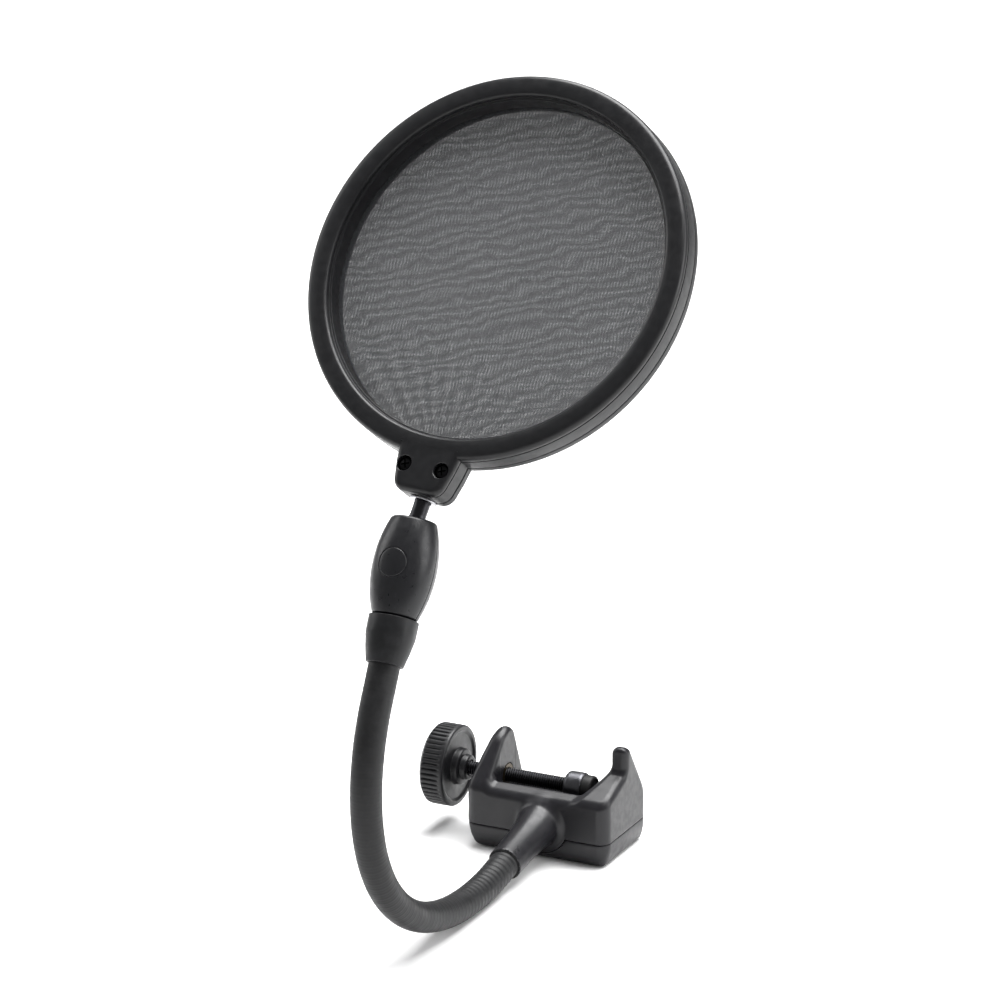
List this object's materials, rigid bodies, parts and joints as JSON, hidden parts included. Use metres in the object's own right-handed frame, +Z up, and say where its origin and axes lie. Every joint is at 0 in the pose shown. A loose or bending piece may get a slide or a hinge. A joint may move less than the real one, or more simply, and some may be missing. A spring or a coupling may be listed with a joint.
{
  "type": "pop filter",
  "caption": "Round twin-screen pop filter on a ball-jointed stem and a bendable gooseneck, with a screw clamp for a stand tube or a table edge.",
  "frame": {"origin": "centre of the flat face under the clamp, which lies on the table", "axes": "+Z up; +X along the clamp screw, from the knob to the hook; the gooseneck leaves towards -Y, and the filter's front faces -Y and up"},
  "size_m": [0.1563, 0.196, 0.324],
  "materials": {
    "body_plastic": "satin",
    "ring_plastic": "satin",
    "barrel_plastic": "satin",
    "knob_plastic": "satin",
    "boot_rubber": "matte",
    "sleeve_rubber": "matte",
    "collar_rubber": "matte",
    "pad_rubber": "matte",
    "core_steel": "brushed",
    "screw_steel": "satin",
    "black_steel": "satin",
    "lug_screw_steel": "satin",
    "bright_steel": "polished",
    "brass": "satin",
    "seat_nylon": "satin",
    "nylon_mesh": "woven"
  },
  "bodies": {
    "clamp": {"clamp_body": "body_plastic", "clamp_base": "body_plastic", "base_screws": "screw_steel", "thread_insert": "brass", "lower_ferrule": "core_steel", "ferrule_screw": "screw_steel", "lower_collar": "collar_rubber", "neck_core_1": "core_steel", "neck_sleeve_1": "sleeve_rubber"},
    "shoe": {"pressure_shoe": "black_steel", "shoe_pad": "pad_rubber"},
    "screw": {"clamp_screw": "black_steel", "knob": "knob_plastic", "knob_cap": "knob_plastic", "retaining_clip": "screw_steel"},
    "link_2": {"neck_core_2": "core_steel", "neck_sleeve_2": "sleeve_rubber"},
    "link_3": {"neck_core_3": "core_steel", "neck_sleeve_3": "sleeve_rubber"},
    "link_4": {"neck_core_4": "core_steel", "neck_sleeve_4": "sleeve_rubber"},
    "link_5": {"neck_core_5": "core_steel", "neck_sleeve_5": "sleeve_rubber"},
    "link_6": {"neck_core_6": "core_steel", "neck_sleeve_6": "sleeve_rubber"},
    "link_7": {"neck_core_7": "core_steel", "neck_sleeve_7": "sleeve_rubber"},
    "link_8": {"neck_core_8": "core_steel", "neck_sleeve_8": "sleeve_rubber"},
    "link_9": {"neck_core_9": "core_steel", "neck_sleeve_9": "sleeve_rubber"},
    "link_10": {"neck_core_10": "core_steel", "neck_sleeve_10": "sleeve_rubber"},
    "link_11": {"neck_core_11": "core_steel", "neck_sleeve_11": "sleeve_rubber"},
    "barrel": {"neck_core_12": "core_steel", "neck_sleeve_12": "sleeve_rubber", "upper_ferrule": "core_steel", "upper_boot": "boot_rubber", "barrel_front": "barrel_plastic", "barrel_rear": "barrel_plastic", "barrel_screw": "screw_steel", "barrel_cap": "barrel_plastic"},
    "seat": {"ball_seat": "seat_nylon"},
    "ball": {"ball_stem": "black_steel"},
    "head": {"front_ring": "ring_plastic", "rear_ring": "ring_plastic", "front_screen": "nylon_mesh", "rear_screen": "nylon_mesh", "spacer_ring": "ring_plastic", "lug_screws": "lug_screw_steel", "stem_nut": "screw_steel", "stem_washer": "bright_steel"}
  },
  "joints": [
    {"name": "neck_bend_low", "type": "hinge", "parent": "clamp", "child": "link_2", "pos_m": [0, -0.06137, 0.00776], "axis": [-1, 0, 0], "range_deg": [-21, 12]},
    {"name": "neck_sway", "type": "hinge", "parent": "link_2", "child": "link_3", "pos_m": [0, -0.08028, 0.00611], "axis": [0, -0.0087, 1], "range_deg": [-12, 12]},
    {"name": "neck_bend_low_2", "type": "hinge", "parent": "link_3", "child": "link_4", "pos_m": [0, -0.09921, 0.00743], "axis": [-1, 0, 0], "range_deg": [-21, 12]},
    {"name": "neck_sway_2", "type": "hinge", "parent": "link_4", "child": "link_5", "pos_m": [0, -0.11766, 0.01186], "axis": [0, 0.3173, 0.9483], "range_deg": [-12, 12]},
    {"name": "neck_bend_low_3", "type": "hinge", "parent": "link_5", "child": "link_6", "pos_m": [0, -0.13492, 0.01973], "axis": [-1, 0, 0], "range_deg": [-21, 12]},
    {"name": "neck_sway_3", "type": "hinge", "parent": "link_6", "child": "link_7", "pos_m": [0, -0.14996, 0.03126], "axis": [0, 0.7009, 0.7132], "range_deg": [-12, 12]},
    {"name": "neck_bend_high", "type": "hinge", "parent": "link_7", "child": "link_8", "pos_m": [0, -0.16149, 0.04629], "axis": [-1, 0, 0], "range_deg": [-21, 12]},
    {"name": "neck_sway_4", "type": "hinge", "parent": "link_8", "child": "link_9", "pos_m": [0, -0.16827, 0.06396], "axis": [0, 0.9763, 0.2164], "range_deg": [-12, 12]},
    {"name": "neck_bend_high_2", "type": "hinge", "parent": "link_9", "child": "link_10", "pos_m": [0, -0.16976, 0.08284], "axis": [-1, 0, 0], "range_deg": [-21, 12]},
    {"name": "neck_sway_5", "type": "hinge", "parent": "link_10", "child": "link_11", "pos_m": [0, -0.16622, 0.10146], "axis": [0, 0.9511, -0.309], "range_deg": [-12, 12]},
    {"name": "neck_bend_high_3", "type": "hinge", "parent": "link_11", "child": "barrel", "pos_m": [0, -0.15851, 0.11878], "axis": [-1, 0, 0], "range_deg": [-21, 12]},
    {"name": "ball_pan", "type": "hinge", "parent": "barrel", "child": "seat", "pos_m": [-0.00125, -0.12857, 0.17065], "axis": [-0.0209, 0.4999, 0.8658], "continuous": true},
    {"name": "ball_tilt", "type": "hinge", "parent": "seat", "child": "ball", "pos_m": [-0.00125, -0.12857, 0.17065], "axis": [-0.7408, 0.5738, -0.3492], "range_deg": [-37.82, 22.18]},
    {"name": "head_roll", "type": "hinge", "parent": "ball", "child": "head", "pos_m": [-0.00125, -0.12857, 0.17065], "axis": [0.0706, 0.5835, 0.809], "continuous": true},
    {"name": "screw_travel", "type": "slide", "parent": "clamp", "child": "shoe", "axis": [1, 0, 0], "range_m": [-0.025, 0.001]},
    {"name": "knob_turn", "type": "hinge", "parent": "shoe", "child": "screw", "pos_m": [-0.045, 0, 0.0252], "axis": [1, 0, 0], "range_deg": [-9000, 360]}
  ],
  "couplings": [
    {"joint": "neck_bend_low_2", "follows": "neck_bend_low", "ratio": 1},
    {"joint": "neck_bend_low_3", "follows": "neck_bend_low", "ratio": 1},
    {"joint": "neck_bend_high_2", "follows": "neck_bend_high", "ratio": 1},
    {"joint": "neck_bend_high_3", "follows": "neck_bend_high", "ratio": 1},
    {"joint": "neck_sway_2", "follows": "neck_sway", "ratio": 1},
    {"joint": "neck_sway_3", "follows": "neck_sway", "ratio": 1},
    {"joint": "neck_sway_4", "follows": "neck_sway", "ratio": 1},
    {"joint": "neck_sway_5", "follows": "neck_sway", "ratio": 1},
    {"joint": "knob_turn", "follows": "screw_travel", "rad_per_m": 6283.2}
  ]
}
